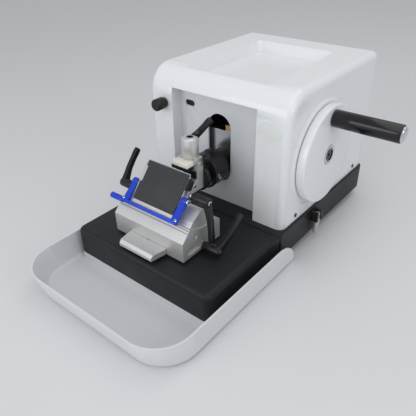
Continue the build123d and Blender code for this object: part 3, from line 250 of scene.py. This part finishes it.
def turnPiece(name, start, direction, outline, sides=48, squeeze=(1, 1, 1)):
    way = Vector(direction).normalized()
    base = Vector(start)
    clearSelection()
    bpy.ops.mesh.primitive_circle_add(vertices=sides, radius=outline[0][0] / 1000,
                                      fill_type="NGON",
                                      location=spot(*(base + way * outline[0][1])),
                                      rotation=way.to_track_quat("Z", "Y").to_euler())
    piece = bpy.context.object
    piece.name = name
    applyPlace(piece)
    bpy.ops.object.mode_set(mode="EDIT")
    bpy.ops.mesh.select_all(action="SELECT")
    if squeeze != (1, 1, 1):
        bpy.ops.transform.resize(value=squeeze, center_override=spot(*base))
    for (radiusA, offsetA), (radiusB, offsetB) in zip(outline, outline[1:]):
        move = way * (offsetB - offsetA) / 1000
        bpy.ops.mesh.extrude_region_move(TRANSFORM_OT_translate={"value": move})
        if radiusB != radiusA:
            ratio = radiusB / radiusA
            bpy.ops.transform.resize(value=(ratio, ratio, ratio),
                                     center_override=spot(*(base + way * offsetB)))
    closeMesh()
    return piece


# a box turned by tilt degrees about X, its edges rounded by the bevel operator

def boxPiece(name, centre, size, tilt=0.0, bevel=0.0):
    clearSelection()
    bpy.ops.mesh.primitive_cube_add(size=1, location=spot(*centre),
                                    rotation=(math.radians(tilt), 0, 0))
    piece = bpy.context.object
    piece.name = name
    piece.scale = [s / 1000 for s in size]
    applyPlace(piece)
    if bevel:
        bpy.ops.object.mode_set(mode="EDIT")
        bpy.ops.mesh.select_all(action="SELECT")
        bpy.ops.mesh.bevel(offset=bevel / 1000, segments=3, affect="EDGES")
        closeMesh()
    return piece


def joinPieces(name, parts):
    clearSelection()
    for part in parts:
        part.select_set(True)
    bpy.context.view_layer.objects.active = parts[0]
    bpy.ops.object.join()
    piece = bpy.context.object
    piece.name = name
    return piece


def finishPiece(piece, finish, body, replaced=(), angle=32):
    applyPlace(piece)
    if angle:
        bpy.ops.object.shade_smooth_by_angle(angle=math.radians(angle))
    piece.data.materials.clear()
    piece.data.materials.append(materials[finish])
    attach(piece, body)
    if replaced:
        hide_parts(*replaced)
    return piece


# rings of a short drum with softened ends

def roundRings(radius, start, end, edge):
    knee = 0.3 * edge
    return [(radius - edge, start), (radius - knee, start + knee), (radius, start + edge),
            (radius, end - edge), (radius - knee, end - knee), (radius - edge, end)]


# a cap screw: a drum with a thin black six-sided disc set in its end, painted shade standing in
# for the socket

screwForm = dict(edge=0.35, socketShare=0.5, socketSunk=0.2, socketThickness=0.28)


def socketScrew(name, place, direction, radius, height, body):
    s = screwForm
    head = turnPiece(name, place, direction, roundRings(radius, 0, height, s["edge"]), sides=32)
    finishPiece(head, "brightChrome", body)
    way = Vector(direction).normalized()
    socketRadius = radius * s["socketShare"]
    # the black hexagon is painted shade in place of the socket's hollow
    paintedSocketShade = turnPiece(name + "SocketShade", Vector(place) + way * (height - s["socketSunk"]),
                       direction, [(socketRadius, 0), (socketRadius, s["socketThickness"])],
                       sides=6)
    finishPiece(paintedSocketShade, "blackPlastic", body, angle=0)


# handwheel and its handle

wheelForm = dict(axis=(0.0, 280.6, 159.2), back=134.5, face=147.9, radius=78.0, hubRadius=15.2,
                 hubDepth=5.0)


def buildHandwheel():
    w = wheelForm
    rim = w["radius"]
    back = w["back"]
    face = w["face"]
    rings = [(rim - 18, back), (rim - 1.6, back), (rim - 0.6, back + 0.4), (rim, back + 1.4),
             (rim, face - 2.4), (rim - 0.35, face - 1.2), (rim - 1.1, face - 0.4),
             (rim - 2.6, face), (w["hubRadius"] + 1.0, face), (w["hubRadius"], face - 0.8),
             (w["hubRadius"], face - w["hubDepth"])]
    wheel = turnPiece("smoothHandwheel", w["axis"], (1, 0, 0), rings, sides=144)
    finishPiece(wheel, "whiteEnamel", "handwheel", ["handwheel_disc"])


gripForm = dict(axis=(0.0, 280.6, 219.0), start=148.9, end=248.9, radius=13.2, capEnd=252.9,
                capRadius=11.6)


def buildGrip():
    g = gripForm
    grip = turnPiece("glossGrip", g["axis"], (1, 0, 0),
                     roundRings(g["radius"], g["start"], g["end"], 1.6), sides=72)
    finishPiece(grip, "glossBlack", "grip", ["handle_grip"])
    rings = [(g["capRadius"], g["end"] - 0.6), (g["capRadius"], g["end"] + 1.2),
             (g["capRadius"] * 0.8, g["end"] + 2.9), (g["capRadius"] * 0.42, g["capEnd"] - 0.15)]
    cap = turnPiece("facetedCap", g["axis"], (1, 0, 0), rings, sides=18)
    pickFaces(cap, lambda f: len(f.vertices) == 4)
    bpy.ops.mesh.poke(offset=0.00035)
    closeMesh()
    finishPiece(cap, "brightChrome", "handwheel", ["grip_end_cap"], angle=0)
    neck = turnPiece("gripCollar", g["axis"], (1, 0, 0),
                     roundRings(7.4, wheelForm["face"] - 0.3, g["start"] + 0.1, 0.3), sides=40)
    finishPiece(neck, "groundSteel", "handwheel")


buildHandwheel()
buildGrip()
print("handwheel and handle are in")

# clamping levers: a turned hub with a swept arm, on a steel shaft

leverForm = dict(hubRadius=7.0, rootWidth=12.5, rootThickness=9.0, waistWidth=9.6,
                 waistThickness=6.8, tipWidth=10.6, tipThickness=7.0, rise=6.6)


def leverArm(hubLength, armLength):
    f = leverForm
    root = hubLength - 5.0
    sections = [(0.0, root, f["rootWidth"] - 0.6, f["rootThickness"]),
                (5.0, root + 0.3, f["rootWidth"], f["rootThickness"]),
                (12.0, root + 1.8, f["rootWidth"] - 1.6, f["rootThickness"] - 0.8),
                (0.42 * armLength, root + 0.75 * f["rise"], f["waistWidth"] + 0.6,
                 f["waistThickness"] + 0.3),
                (0.7 * armLength, root + 0.93 * f["rise"], f["waistWidth"],
                 f["waistThickness"]),
                (armLength - 8.0, root + f["rise"], f["tipWidth"], f["tipThickness"]),
                (armLength, root + f["rise"], f["tipWidth"] - 1.0, f["tipThickness"] - 0.6)]
    clearSelection()
    bpy.ops.mesh.primitive_cube_add(size=1, location=(0, 0, root / 1000))
    arm = bpy.context.object
    first = sections[0]
    arm.scale = (0.006, first[2] / 1000, first[3] / 1000)
    applyPlace(arm)
    pickFaces(arm, lambda face: face.normal.x > 0.9)
    place = Vector((3.0, 0.0, root))
    width, thickness = first[2], first[3]
    for along, height, newWidth, newThickness in sections[1:]:
        target = Vector((along, 0, height))
        bpy.ops.mesh.extrude_region_move(
            TRANSFORM_OT_translate={"value": (target - place) / 1000})
        bpy.ops.transform.resize(value=(1, newWidth / width, newThickness / thickness),
                                 center_override=target / 1000)
        place, width, thickness = target, newWidth, newThickness
    bpy.ops.mesh.select_all(action="SELECT")
    bpy.ops.mesh.bevel(offset=0.0016, segments=1, affect="EDGES", clamp_overlap=True)
    closeMesh()
    soften = arm.modifiers.new("soften", "SUBSURF")
    soften.levels = 2
    soften.render_levels = 2
    bpy.ops.object.modifier_apply(modifier="soften")
    return arm


# moves a piece made about the world origin to its place: Z to hubWay, X to armWay

def setFrame(piece, origin, hubWay, armWay):
    up = Vector(hubWay).normalized()
    along = Vector(armWay).normalized()
    turn = Matrix((along, up.cross(along), up)).transposed().to_4x4()
    piece.matrix_world = Matrix.Translation(spot(*origin)) @ turn
    applyPlace(piece)


def buildLever(name, origin, hubWay, armWay, hubLength, armLength, body, node):
    r = leverForm["hubRadius"]
    home = -Vector(frameShift)      # the world origin, in the frame of the sizes above
    hub = turnPiece(name + "Hub", home, (0, 0, 1),
                    [(r - 1.6, 0.3), (r - 1.2, 0.8), (r - 1.0, 3.2), (r - 0.2, 4.2),
                     (r, 5.2), (r, hubLength - 2.2), (r - 0.7, hubLength - 0.8),
                     (r - 2.0, hubLength), (r - 3.2, hubLength), (r - 3.4, hubLength - 1.0)])
    arm = leverArm(hubLength, armLength)
    lever = joinPieces(name, [hub, arm])
    setFrame(lever, origin, hubWay, armWay)
    finishPiece(lever, "blackPlastic", body, [node], angle=42)
    shaft = turnPiece(name + "Shaft", home, (0, 0, 1),
                      [(4.0, -3.0), (4.0, 0.35), (4.9, 0.35), (4.9, 0.9), (4.0, 0.9)])
    setFrame(shaft, origin, hubWay, armWay)
    finishPiece(shaft, "groundSteel", body)
    way = Vector(hubWay).normalized()
    socketScrew(name + "Screw", Vector(origin) + way * (hubLength - 1.0), hubWay, 3.3, 0.9, body)


slant = (0, math.sqrt(0.5), math.sqrt(0.5))
levers = [
    dict(name="segmentLever", origin=(-73.0, 75.1, 121.4), hubWay=(-1, 0, 0), armWay=slant,
         hubLength=25.0, armLength=58.0, body="segment_lever", node="tilt_lock_lever"),
    dict(name="holderLever", origin=(63.8, 76.2, 70.5), hubWay=(1, 0, 0), armWay=slant,
         hubLength=32.0, armLength=62.0, body="holder_lever", node="base_lock_lever"),
    dict(name="plateLever", origin=(48.5, 74.71, 146.63), hubWay=(1, 0, 0), armWay=(0, 0, -1),
         hubLength=30.0, armLength=64.0, body="plate_lever", node="press_lever"),
    dict(name="jawLever", origin=(-15.1, 143.4, 188.0), hubWay=(0, 1, 0),
         armWay=(math.cos(math.radians(50)), 0, math.sin(math.radians(50))),
         hubLength=10.5, armLength=49.0, body="jaw_lever", node="jaw_lock_lever"),
]
for lever in levers:
    buildLever(**lever)
print("levers are in")

# handle of the handwheel lock

lockForm = dict(x=143.5, y=276.0, top=55.0, shoulder=42.0, low=15.2, neckWidth=8.8,
                bladeWidth=13.0, thickness=6.4)


def buildLockHandle():
    f = lockForm
    height = f["top"] - f["shoulder"]
    handle = boxPiece("lockHandle", (f["x"], f["y"], f["shoulder"] + height / 2),
                      (f["thickness"], f["neckWidth"], height))
    pickFaces(handle, lambda face: face.normal.z < -0.9)
    steps = ((3.0, f["bladeWidth"] / f["neckWidth"], 1.0), (14.0, 1.0, 1.08),
             (f["shoulder"] - f["low"] - 17.0, 0.86, 0.72))
    low = f["shoulder"]
    for drop, widen, thicken in steps:
        low -= drop
        bpy.ops.mesh.extrude_region_move(
            TRANSFORM_OT_translate={"value": (0, 0, -drop / 1000)})
        bpy.ops.transform.resize(value=(thicken, widen, 1),
                                 center_override=spot(f["x"], f["y"], low))
    bpy.ops.mesh.select_all(action="SELECT")
    bpy.ops.mesh.bevel(offset=0.0013, segments=3, affect="EDGES")
    closeMesh()
    finishPiece(handle, "warmSteel", "wheel_lock", ["wheel_lock_lever"],
                angle=40)


buildLockHandle()
# a thin near-black disc on the chassis beside the lock: painted shade standing in for the hole
# there
holeForm = dict(place=(134.9, 249.3, 52.2), radius=2.0, height=0.15)
lockHoleShade = turnPiece("lockHoleShade", holeForm["place"], (1, 0, 0),
                     [(holeForm["radius"], 0), (holeForm["radius"], holeForm["height"])],
                     sides=24)
finishPiece(lockHoleShade, "paintedHollowShade", "stand", angle=0)

# the bare oval plate on the housing's front

badgeForm = dict(centre=(100.0, 181.5, 220.0), halfWidth=20.0, squash=0.65, thickness=0.9)


def buildBadge():
    b = badgeForm
    radius = b["halfWidth"]
    rings = [(radius, -0.2), (radius, b["thickness"] * 0.7), (radius - 0.5, b["thickness"]),
             (radius - 1.4, b["thickness"]), (radius - 1.7, b["thickness"] - 0.25),
             (2.0, b["thickness"] - 0.25)]
    plate = turnPiece("ovalPlate", b["centre"], (0, -1, 0), rings, sides=96,
                      squeeze=(1, 1, b["squash"]))
    finishPiece(plate, "platePolymer", "stand")


buildBadge()

# fasteners of the blade holder, and dark strips on it that are painted shade in its grooves

holder = dict(left=-72.6, right=63.4, front=32.7, shoulderZ=95.2, lipZ=111.1, grooveShadeWidth=0.7,
              grooveShadeInset=(1.6, 4.4))
guardPivot = (66.0, 140.8)
guardBar = (40.6, 119.1)
bedSlope = math.radians(50.5)
barScrews = dict(x=dict(guardScrewRight=44.7, guardScrewLeft=-57.3), lift=2.6,
                 shift=(0, 2.2, 2.7), radius=2.2, height=1.3)


def buildGrooveShade():
    h = holder
    middle = (h["left"] + h["right"]) / 2
    length = h["right"] - h["left"] - 1.0
    for number, inset in enumerate(h["grooveShadeInset"]):
        y = h["front"] + (h["lipZ"] - h["shoulderZ"]) - inset
        z = h["lipZ"] - inset
        # each strip is a thin near-black box: painted shade where a groove runs along the holder
        grooveShade = boxPiece("holderGrooveShade%d" % (number + 1), (middle, y, z),
                        (length, h["grooveShadeWidth"], 0.5), tilt=45)
        finishPiece(grooveShade, "paintedHollowShade", "holder", angle=0)


def buildGuardScrews():
    s = barScrews
    out = Vector((0, -math.sin(bedSlope), math.cos(bedSlope)))
    for name, x in s["x"].items():
        place = Vector((x, *guardBar)) + out * s["lift"] + Vector(s["shift"])
        socketScrew(name, place, out, s["radius"], s["height"], "guard")
    socketScrew("guardPivotRight", (46.1, *guardPivot), (1, 0, 0), 4.3, 2.4, "guard")
    socketScrew("guardPivotLeft", (-58.1, *guardPivot), (-1, 0, 0), 4.0, 1.6, "guard")


stubForm = dict(left=-83.0, right=-58.5, depth=8.6, height=7.4)


# the thicker finger rest at the guard's left end

def buildGuardStub():
    s = stubForm
    middle = ((s["left"] + s["right"]) / 2, *guardBar)
    rest = boxPiece("guardFingerRest", middle, (s["right"] - s["left"], s["depth"], s["height"]),
                    tilt=math.degrees(bedSlope), bevel=0.9)
    finishPiece(rest, "blueAnodised", "guard")


jawForm = dict(left=-20.6, right=11.4, front=106.0, rear=121.7, top=169.5, seam=163.4, low=158.0,
               ribs=6, ribDepth=0.9)
tongueForm = dict(left=-13.3, right=4.1, front=120.7, rear=137.7)


# cuts the face that looks outward into strips and sinks every second one

def ribbedFace(piece, ribs, along, outward, depth):
    low = min(vertex.co.dot(along) for vertex in piece.data.vertices)
    high = max(vertex.co.dot(along) for vertex in piece.data.vertices)
    step = (high - low) / (2 * ribs + 1)
    bpy.ops.object.mode_set(mode="EDIT")
    for number in range(1, 2 * ribs + 1):
        bpy.ops.mesh.select_all(action="SELECT")
        bpy.ops.mesh.bisect(plane_co=along * (low + number * step), plane_no=along)
    bpy.ops.object.mode_set(mode="OBJECT")

    def sunken(face):
        place = (face.center.dot(along) - low) / step
        return face.normal.dot(outward) > 0.9 and int(place) % 2 == 1

    pickFaces(piece, sunken)
    bpy.ops.mesh.extrude_region_move(
        TRANSFORM_OT_translate={"value": -outward * depth / 1000})
    closeMesh()


def buildJaw():
    j = jawForm
    x = (j["left"] + j["right"]) / 2
    y = (j["front"] + j["rear"]) / 2
    width = j["right"] - j["left"]
    depth = j["rear"] - j["front"]
    cover = boxPiece("creamJawCover", (x, y, (j["top"] + j["seam"]) / 2),
                     (width, depth, j["top"] - j["seam"]))
    pickFaces(cover, lambda face: face.normal.z > 0.9)
    bpy.ops.transform.resize(value=(0.94, 0.84, 1),
                             center_override=spot(x, j["rear"], j["top"]))
    bpy.ops.mesh.select_all(action="SELECT")
    bpy.ops.mesh.bevel(offset=0.0009, segments=3, affect="EDGES")
    closeMesh()
    finishPiece(cover, "creamEnamel", "jaw", ["moving_jaw"])
    plate = boxPiece("ribbedJaw", (x, y, (j["seam"] + j["low"]) / 2),
                     (width - 1.6, depth - 1.2, j["seam"] - j["low"]))
    ribbedFace(plate, j["ribs"], Vector((0, 1, 0)), Vector((0, 0, -1)), j["ribDepth"])
    finishPiece(plate, "burnishedBlack", "jaw", angle=0)
    t = tongueForm
    tongue = boxPiece("jawTongue",
                      ((t["left"] + t["right"]) / 2, (t["front"] + t["rear"]) / 2,
                       (j["low"] + j["seam"]) / 2),
                      (t["right"] - t["left"], t["rear"] - t["front"], j["seam"] - j["low"]),
                      bevel=0.4)
    finishPiece(tongue, "groundSteel", "jaw")


backJaw = dict(x=-4.6, y=129.2, z=142.4, width=24.0, depth=2.0, height=10.8, ribs=4,
               ribDepth=0.8)
dotForm = dict(place=(7.6, 124.6, 169.9), radius=2.3, height=0.5, edge=0.2)
sideScrews = [
    dict(name="clampSideScrew", place=(10.8, 122.0, 129.0), radius=3.0, height=1.4,
         body="specimen_clamp"),
    dict(name="clampColumnScrew", place=(10.8, 136.5, 160.0), radius=2.2, height=0.9,
         body="specimen_clamp"),
    dict(name="headScrew", place=(23.0, 168.5, 126.0), radius=2.6, height=1.2,
         body="feed_arm"),
]


def buildClampDetails():
    b = backJaw
    plate = boxPiece("ribbedBackJaw", (b["x"], b["y"], b["z"]),
                     (b["width"], b["depth"], b["height"]))
    ribbedFace(plate, b["ribs"], Vector((0, 0, 1)), Vector((0, -1, 0)), b["ribDepth"])
    finishPiece(plate, "burnishedBlack", "specimen_clamp", angle=0)
    d = dotForm
    dot = turnPiece("limeDot", d["place"], (0, 0, 1),
                    roundRings(d["radius"], 0, d["height"], d["edge"]), sides=32)
    finishPiece(dot, "limeMark", "specimen_clamp")
    for screw in sideScrews:
        socketScrew(direction=(1, 0, 0), **screw)


buildGrooveShade()
buildGuardScrews()
buildGuardStub()
buildJaw()
buildClampDetails()
print("plate, lines and screws are in")

# floor, light and camera

studio = dict(floorColour=(0.70, 0.71, 0.73), worldLevel=0.56, keyPower=6.5, sidePower=3.5,
              fillPower=9.5)


def buildFloor():
    bpy.ops.object.select_all(action="DESELECT")
    bpy.ops.mesh.primitive_plane_add(size=14, location=(0, 0, -0.0004))
    floor = bpy.context.object
    floor.name = "paleFloor"
    material = bpy.data.materials.new("paleFloor")
    material.use_nodes = True
    shader = material.node_tree.nodes["Principled BSDF"]
    shader.inputs["Base Color"].default_value = (*studio["floorColour"], 1)
    shader.inputs["Roughness"].default_value = 0.55
    floor.data.materials.append(material)


def addLamp(name, power, size, location, target):
    bpy.ops.object.light_add(type="AREA", location=location)
    lamp = bpy.context.object
    lamp.name = name
    lamp.data.shape = "RECTANGLE"
    lamp.data.size, lamp.data.size_y = size
    lamp.data.energy = power
    lamp.rotation_euler = (Vector(target) - Vector(location)).to_track_quat("-Z",
                                                                            "Y").to_euler()
    return lamp


def buildLight():
    world = bpy.data.worlds.new("softRoom")
    bpy.context.scene.world = world
    world.use_nodes = True
    world.node_tree.nodes["Background"].inputs["Color"].default_value = (0.97, 0.985, 1.0, 1)
    world.node_tree.nodes["Background"].inputs["Strength"].default_value = studio["worldLevel"]
    addLamp("ceilingLight", studio["keyPower"], (2.8, 0.7), (0.25, 0.05, 1.5), (0, 0, 0.1))
    addLamp("rightLight", studio["sidePower"], (0.9, 0.7), (1.5, -0.3, 0.9), (0, 0, 0.12))
    addLamp("frontLight", studio["fillPower"], (1.6, 0.9), (-0.35, -1.7, 0.75), (0, 0, 0.1))


photoCamera = dict(place=(414.4, -339.5, 481.0), azimuth=39.357, elevation=32.596, roll=-1.048,
                   focalPixels=469.89, imagePixels=416)


def buildCamera():
    azimuth = math.radians(photoCamera["azimuth"])
    elevation = math.radians(photoCamera["elevation"])
    roll = math.radians(photoCamera["roll"])
    back = Vector((math.sin(azimuth) * math.cos(elevation),
                   -math.cos(azimuth) * math.cos(elevation), math.sin(elevation)))
    right = Vector((0, 0, 1)).cross(back).normalized()
    up = back.cross(right)
    rolledRight = math.cos(roll) * right + math.sin(roll) * up
    rolledUp = -math.sin(roll) * right + math.cos(roll) * up
    bpy.ops.object.camera_add()
    camera = bpy.context.object
    camera.name = "photoCamera"
    turn = Matrix((rolledRight, rolledUp, back)).transposed().to_4x4()
    camera.matrix_world = Matrix.Translation(spot(*photoCamera["place"])) @ turn
    camera.data.sensor_width = 36
    camera.data.lens = 36 * photoCamera["focalPixels"] / photoCamera["imagePixels"]
    camera.data.clip_start = 0.01
    bpy.context.scene.camera = camera


buildFloor()
buildLight()
buildCamera()
bpy.context.scene.view_settings.view_transform = "Standard"
print("floor, light and camera are in")
